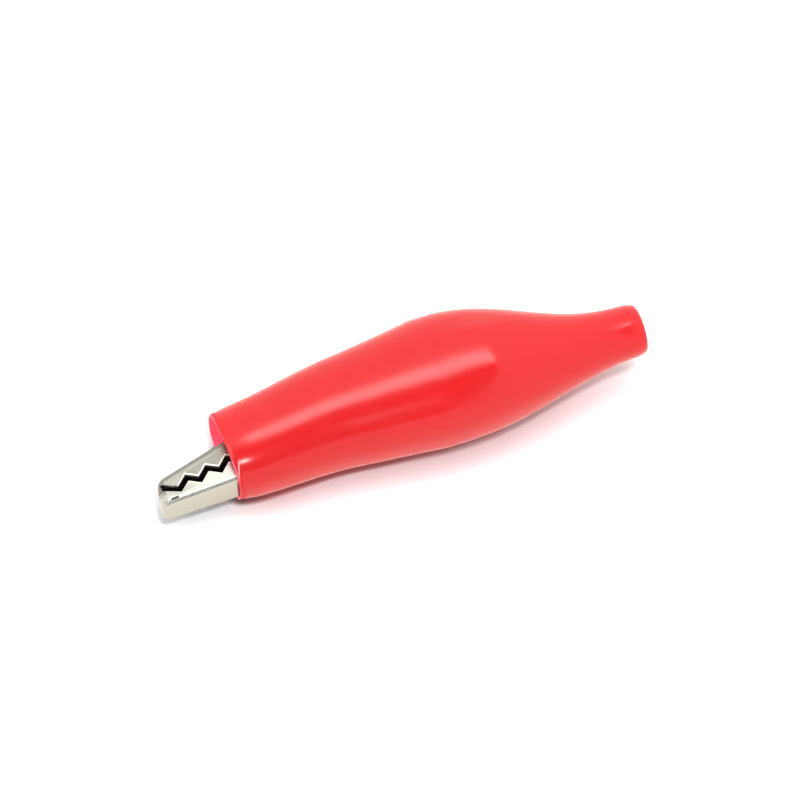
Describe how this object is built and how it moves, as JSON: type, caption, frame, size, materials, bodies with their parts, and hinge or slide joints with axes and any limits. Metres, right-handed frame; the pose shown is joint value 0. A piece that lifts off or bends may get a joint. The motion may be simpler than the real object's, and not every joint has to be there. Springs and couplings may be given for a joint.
{
  "type": "crocodile clip",
  "caption": "Small crocodile clip with toothed stamped jaws on a sprung rivet, in a tapered soft boot with a cable hole.",
  "frame": {"origin": "centre of the cable hole in the tail's end face", "axes": "+X out of the tail along the cable, so the jaws point along -X; +Y the way the upper jaw opens; +Z along the rivet, up as the clip lies on its side"},
  "size_m": [0.0348, 0.009, 0.0072],
  "materials": {
    "nickel_plate": "bright nickel plating on stamped steel sheet",
    "rivet_metal": "nickel plated, rolled heads",
    "spring_wire": "drawn spring wire",
    "boot_vinyl": "soft glossy red vinyl, slightly translucent"
  },
  "bodies": {
    "lower_body": {"lower_jaw": "nickel_plate", "pivot_rivet": "rivet_metal", "spring": "spring_wire", "boot": "boot_vinyl"},
    "upper_body": {"upper_jaw": "nickel_plate"}
  },
  "joints": [
    {"name": "jaw_hinge", "type": "hinge", "parent": "lower_body", "child": "upper_body", "pos_m": [-0.02115, 0.0001, 0], "axis": [0, 0, -1], "range_deg": [0, 22], "stiffness_Nm_per_rad": 0.02, "springref_deg": -28.65, "deforming": ["spring", "boot"]}
  ]
}
